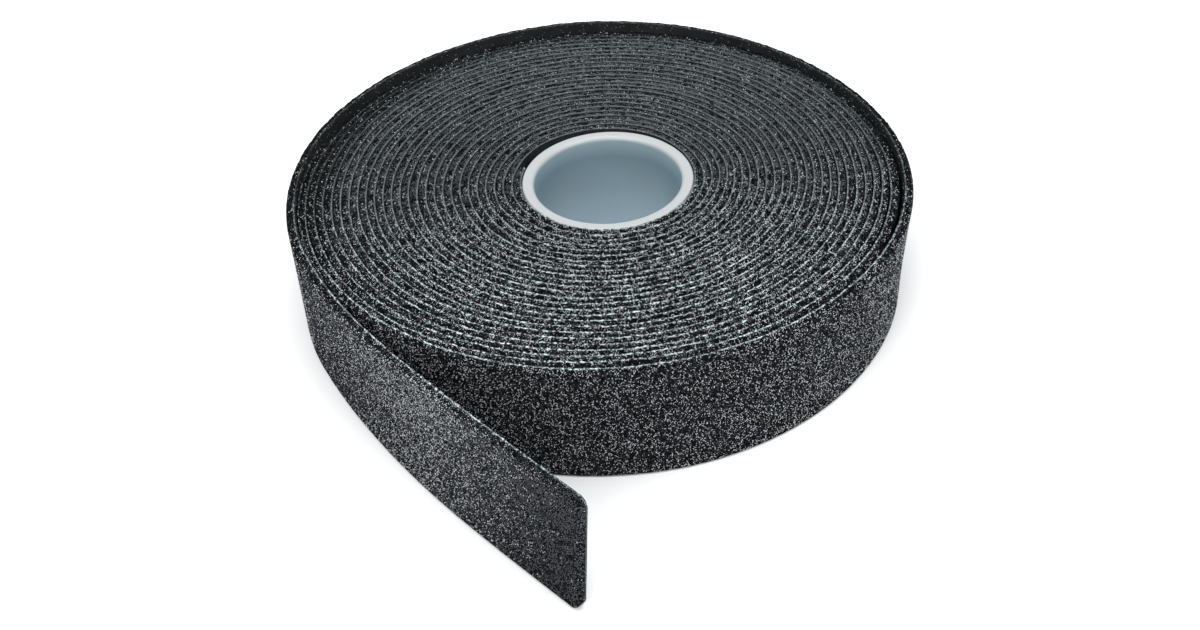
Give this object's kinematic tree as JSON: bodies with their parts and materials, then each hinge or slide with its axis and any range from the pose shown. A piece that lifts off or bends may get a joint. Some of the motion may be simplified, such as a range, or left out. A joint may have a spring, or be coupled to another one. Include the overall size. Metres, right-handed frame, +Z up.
{
  "type": "grip tape roll",
  "caption": "Roll of dark towelling grip tape wound on a hollow pale plastic core, lying flat, with its free end lifted off and standing on edge in front of the roll.",
  "frame": {"origin": "on the core bore's axis, in the plane that the roll rests on", "axes": "+Z up along the bore's axis, -Y towards the cut end of the loose tape"},
  "size_m": [0.1284, 0.1616, 0.025],
  "materials": {
    "core": "slightly translucent moulded plastic",
    "pile": "short matted loop pile",
    "backing": "fine woven ground cloth with an adhesive coat",
    "liner": "thin translucent release film"
  },
  "bodies": {
    "roll": {"core": "core", "wound_pile": "pile", "wound_backing": "backing", "wound_liner": "liner"},
    "loose_end_1": {"loose_end_1_pile": "pile", "loose_end_1_backing": "backing", "loose_end_1_liner": "liner"},
    "loose_end_2": {"loose_end_2_pile": "pile", "loose_end_2_backing": "backing", "loose_end_2_liner": "liner"},
    "loose_end_3": {"loose_end_3_pile": "pile", "loose_end_3_backing": "backing", "loose_end_3_liner": "liner"},
    "loose_end_4": {"loose_end_4_pile": "pile", "loose_end_4_backing": "backing", "loose_end_4_liner": "liner"},
    "loose_end_5": {"loose_end_5_pile": "pile", "loose_end_5_backing": "backing", "loose_end_5_liner": "liner"},
    "loose_end_6": {"loose_end_6_pile": "pile", "loose_end_6_backing": "backing", "loose_end_6_liner": "liner"},
    "loose_end_7": {"loose_end_7_pile": "pile", "loose_end_7_backing": "backing", "loose_end_7_liner": "liner"}
  },
  "joints": [
    {"name": "peel_1", "type": "hinge", "parent": "roll", "child": "loose_end_1", "pos_m": [-0.06004, -0.02598, 0.0125], "axis": [0, 0, -1], "range_deg": [-1.8, 5.4]},
    {"name": "peel_2", "type": "hinge", "parent": "loose_end_1", "child": "loose_end_2", "pos_m": [-0.05444, -0.03704, 0.0125], "axis": [0, 0, -1], "range_deg": [-6, 18]},
    {"name": "peel_3", "type": "hinge", "parent": "loose_end_2", "child": "loose_end_3", "pos_m": [-0.04801, -0.04764, 0.0125], "axis": [0, 0, -1], "range_deg": [-7, 21]},
    {"name": "curl_4", "type": "hinge", "parent": "loose_end_3", "child": "loose_end_4", "pos_m": [-0.04093, -0.05782, 0.0125], "axis": [0, 0, 1], "range_deg": [-15, 8]},
    {"name": "curl_5", "type": "hinge", "parent": "loose_end_4", "child": "loose_end_5", "pos_m": [-0.03337, -0.06765, 0.0125], "axis": [0, 0, 1], "range_deg": [-16.5, 8.8]},
    {"name": "curl_6", "type": "hinge", "parent": "loose_end_5", "child": "loose_end_6", "pos_m": [-0.02548, -0.07721, 0.0125], "axis": [0, 0, 1], "range_deg": [-18, 9.6]},
    {"name": "curl_7", "type": "hinge", "parent": "loose_end_6", "child": "loose_end_7", "pos_m": [-0.01739, -0.08661, 0.0125], "axis": [0, 0, 1], "range_deg": [-19.5, 10.4]}
  ],
  "couplings": [
    {"joint": "peel_1", "follows": "peel_2", "ratio": 0.3},
    {"joint": "peel_3", "follows": "peel_2", "ratio": 1.1667},
    {"joint": "curl_5", "follows": "curl_4", "ratio": 1.1},
    {"joint": "curl_6", "follows": "curl_4", "ratio": 1.2},
    {"joint": "curl_7", "follows": "curl_4", "ratio": 1.3}
  ]
}
